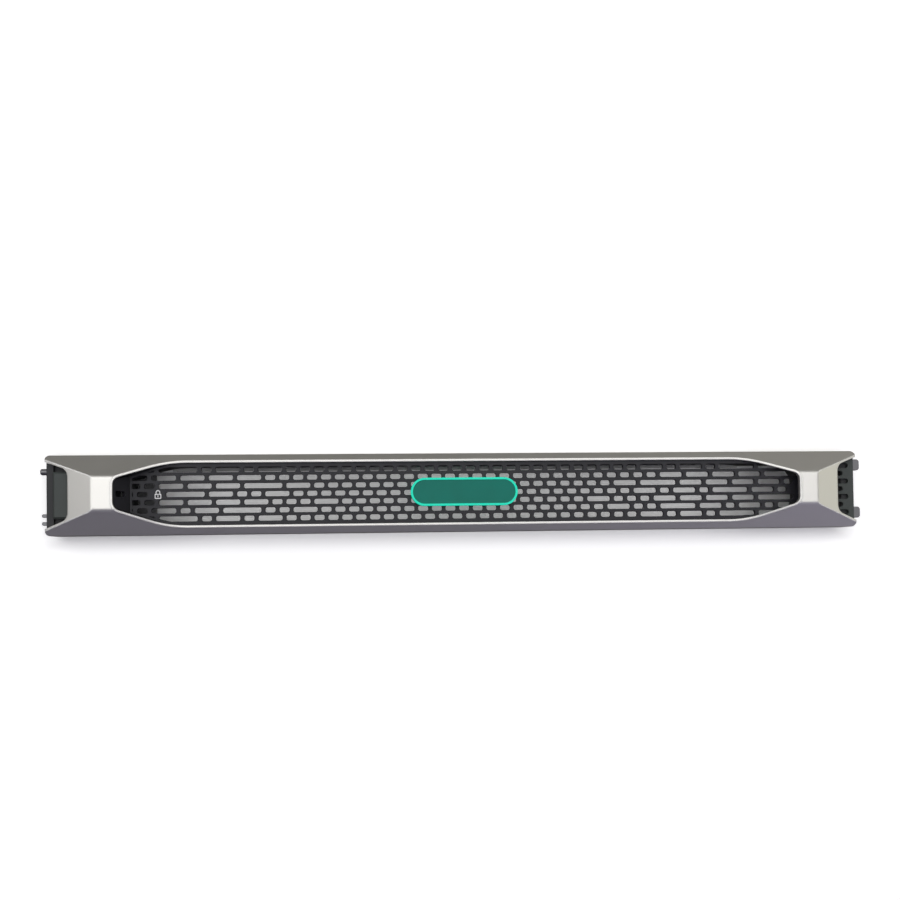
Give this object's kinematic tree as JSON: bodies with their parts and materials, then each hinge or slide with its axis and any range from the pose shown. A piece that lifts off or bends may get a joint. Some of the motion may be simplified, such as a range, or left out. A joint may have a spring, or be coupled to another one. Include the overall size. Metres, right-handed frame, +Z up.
{
  "type": "server front bezel",
  "caption": "Low server front bezel: silver shell with an elongated hexagonal opening, black brick-slot grille, plain badge, sprung release latch with hooks, and fixed hooks at the other end.",
  "frame": {"origin": "the middle of the rear face, in the plane that meets the rack", "axes": "X runs along the bezel with the release latch at -X, +Z is up, and the front faces -Y"},
  "size_m": [0.4518, 0.0283, 0.0426],
  "materials": {
    "silver_paint": "moulded shell in satin silver metallic paint",
    "black_plastic": "fine-textured black moulded plastic",
    "grille_black": "satin black moulded plastic",
    "slate_plastic": "fine-textured dark grey moulded plastic",
    "teal_badge": "glossy teal moulded plastic with a sunk field",
    "steel": "bright zinc-plated steel",
    "dark_steel": "dark phosphated steel"
  },
  "bodies": {
    "bezel": {"outer_shell": "silver_paint", "inner_frame": "black_plastic", "grille": "grille_black", "badge": "teal_badge", "badge_nuts": "steel", "lock_recess": "black_plastic", "lock_plate": "steel", "latch_housing": "black_plastic", "latch_cover": "steel", "upper_spring": "steel", "lower_spring": "steel", "left_screws": "steel", "end_panel": "slate_plastic", "end_block": "black_plastic", "fixed_hooks": "dark_steel", "right_screws": "steel"},
    "latch": {"latch_slider": "black_plastic", "latch_button": "slate_plastic", "upper_hook_pin": "dark_steel", "lower_hook": "dark_steel", "hook_rivets": "steel"}
  },
  "joints": [
    {"name": "latch_slide", "type": "slide", "parent": "bezel", "child": "latch", "axis": [1, 0, 0], "range_m": [0, 0.003], "stiffness_N_per_m": 1400, "springref_m": -0.003, "deforming": ["upper_spring", "lower_spring"]}
  ]
}
